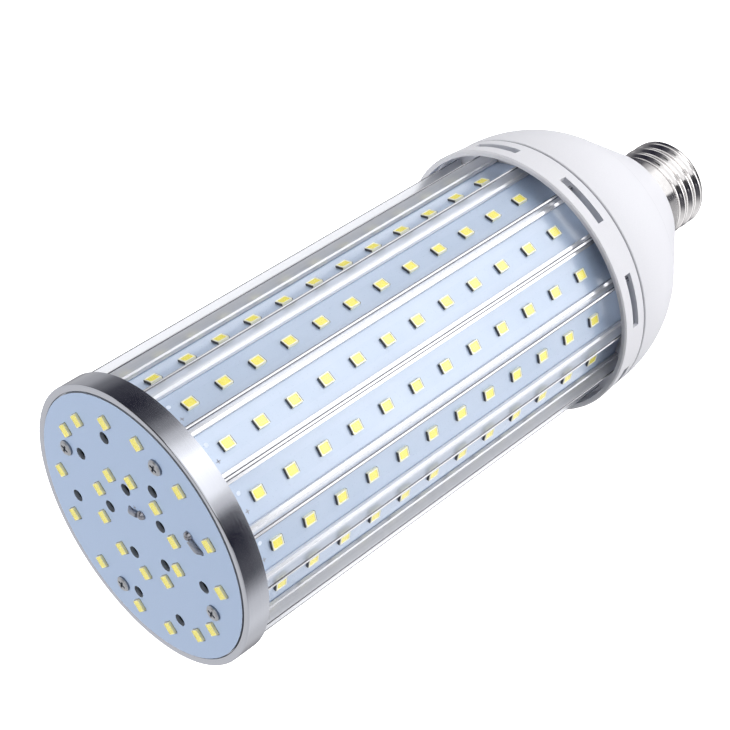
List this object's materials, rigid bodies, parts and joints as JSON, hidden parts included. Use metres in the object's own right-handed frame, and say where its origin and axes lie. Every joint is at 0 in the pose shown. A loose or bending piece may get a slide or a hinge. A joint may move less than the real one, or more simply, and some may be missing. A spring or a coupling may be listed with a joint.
{
  "type": "corn led bulb",
  "caption": "Corn-style LED bulb: LED strips round a finned, many-sided heat sink, an LED disc in a metal head ring, and a vented white base with a screw cap.",
  "frame": {"origin": "on the bulb's axis, in the plane where the cap's shell leaves the plastic neck", "axes": "+Z from the screw cap to the LED head, +X through one of the four head screws"},
  "size_m": [0.077, 0.077, 0.2038],
  "materials": {
    "sink_aluminium": "bright drawn extrusion",
    "ring_aluminium": "polished, turned",
    "head_board_face": "pale solder mask, satin",
    "strip_face": "pale solder mask, satin",
    "led_package": "white package with a yellow phosphor window",
    "screw_steel": "plated",
    "solder": "bright solder",
    "lead_jacket": "pale insulation",
    "housing_plastic": "satin moulded",
    "shell_nickel": "bright nickel plate",
    "insulator_black": "glossy moulding",
    "contact_metal": "tinned",
    "circuit_board": "bare laminate",
    "capacitor_sleeve": "shrink sleeve",
    "ferrite": "sintered",
    "winding_tape": "polyester tape",
    "black_resin": "moulded"
  },
  "bodies": {
    "root": {"heat_sink": "sink_aluminium", "head_ring": "ring_aluminium", "head_board": "head_board_face", "head_leds": "led_package", "head_screws": "screw_steel", "head_solder": "solder", "head_lead_positive": "lead_jacket", "head_lead_negative": "lead_jacket", "base_collar": "housing_plastic", "base_bowl": "housing_plastic", "collar_screws": "screw_steel", "screw_shell": "shell_nickel", "cap_insulator": "insulator_black", "centre_contact": "contact_metal", "live_lead": "lead_jacket", "neutral_lead": "lead_jacket", "driver_board": "circuit_board", "driver_screws": "screw_steel", "bulk_capacitor": "capacitor_sleeve", "output_capacitor": "capacitor_sleeve", "transformer_core": "ferrite", "transformer_winding": "winding_tape", "bridge_rectifier": "black_resin", "power_switch": "black_resin", "led_strip_01": "strip_face", "led_strip_02": "strip_face", "led_strip_03": "strip_face", "led_strip_04": "strip_face", "led_strip_05": "strip_face", "led_strip_06": "strip_face", "led_strip_07": "strip_face", "led_strip_08": "strip_face", "led_strip_09": "strip_face", "led_strip_10": "strip_face", "led_strip_11": "strip_face", "led_strip_12": "strip_face", "led_strip_13": "strip_face", "led_strip_14": "strip_face", "led_strip_15": "strip_face", "led_strip_16": "strip_face", "strip_leds_01": "led_package", "strip_leds_02": "led_package", "strip_leds_03": "led_package", "strip_leds_04": "led_package", "strip_leds_05": "led_package", "strip_leds_06": "led_package", "strip_leds_07": "led_package", "strip_leds_08": "led_package", "strip_leds_09": "led_package", "strip_leds_10": "led_package", "strip_leds_11": "led_package", "strip_leds_12": "led_package", "strip_leds_13": "led_package", "strip_leds_14": "led_package", "strip_leds_15": "led_package", "strip_leds_16": "led_package"}
  },
  "joints": []
}
